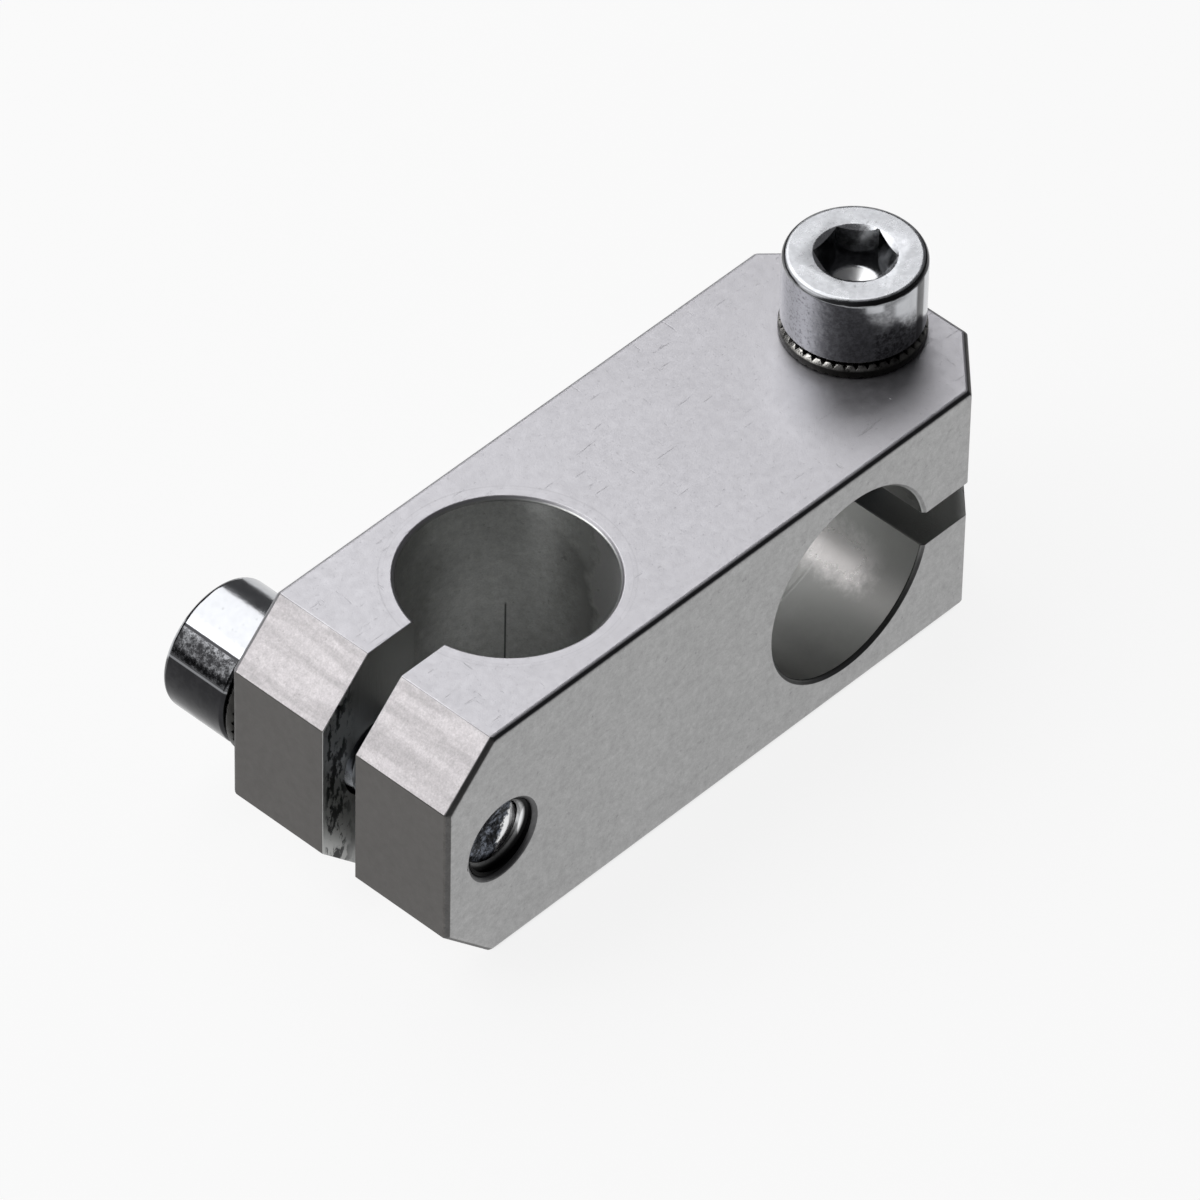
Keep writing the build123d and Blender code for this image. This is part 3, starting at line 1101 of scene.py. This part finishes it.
def heading(azimuth, elevation):
    """Unit vector to a lamp: azimuth is counted from +X towards +Y, both in degrees."""
    a = math.radians(azimuth)
    e = math.radians(elevation)
    return Vector((math.cos(a) * math.cos(e), math.sin(a) * math.cos(e), math.sin(e)))


def make_softbox(name, azimuth, elevation, width, height, radiance):
    """Soft rectangular lamp; radiance 1 is as bright as a white page in full light."""
    light = bpy.data.lights.new(name, "AREA")
    light.shape = "RECTANGLE"
    light.size = width
    light.size_y = height
    light.energy = radiance * math.pi * width * height
    lamp = bpy.data.objects.new(name, light)
    lamp.location = heading(azimuth, elevation) * SOFTBOX_DISTANCE
    bpy.context.scene.collection.objects.link(lamp)
    aim(lamp, SOFTBOX_TARGET)


def make_floor():
    """A disc of paper just under the bar."""
    bm = bmesh.new()
    bmesh.ops.create_circle(bm, cap_ends=True, segments=96, radius=FLOOR_RADIUS)
    bmesh.ops.translate(bm, verts=bm.verts, vec=(0, 0, -FLOOR_DROP))
    floor = new_piece("floor", bm, Matrix(), floor_material())


def make_world():
    """Dim grey surroundings."""
    world = bpy.data.worlds.new("studio")
    world.use_nodes = True
    background = world.node_tree.nodes["Background"]
    background.inputs["Color"].default_value = WORLD_GREY
    background.inputs["Strength"].default_value = 1.0
    bpy.context.scene.world = world


def make_camera():
    """Camera fitted to the photograph: azimuth -47.4 degrees, elevation 44.3 degrees."""
    data = bpy.data.cameras.new("camera")
    data.lens = CAMERA_LENS
    data.sensor_width = 36.0
    data.clip_start = 0.05
    data.clip_end = 10.0
    camera = bpy.data.objects.new("camera", data)
    camera.location = CAMERA_PLACE
    bpy.context.scene.collection.objects.link(camera)
    aim(camera, CAMERA_TARGET, CAMERA_ROLL)
    bpy.context.scene.camera = camera


def main():
    """Builds the pieces and the stage."""
    bpy.context.scene.view_settings.view_transform = "Standard"
    make_block(aluminium_material())
    tapped = tapped_material()
    for side in SEATS:
        make_screw(side, zinc_material(side))
        make_jaw_thread(side, tapped)
        dress_washer(side)
    make_floor()
    make_world()
    for softbox in SOFTBOXES:
        make_softbox(*softbox)
    make_camera()


main()
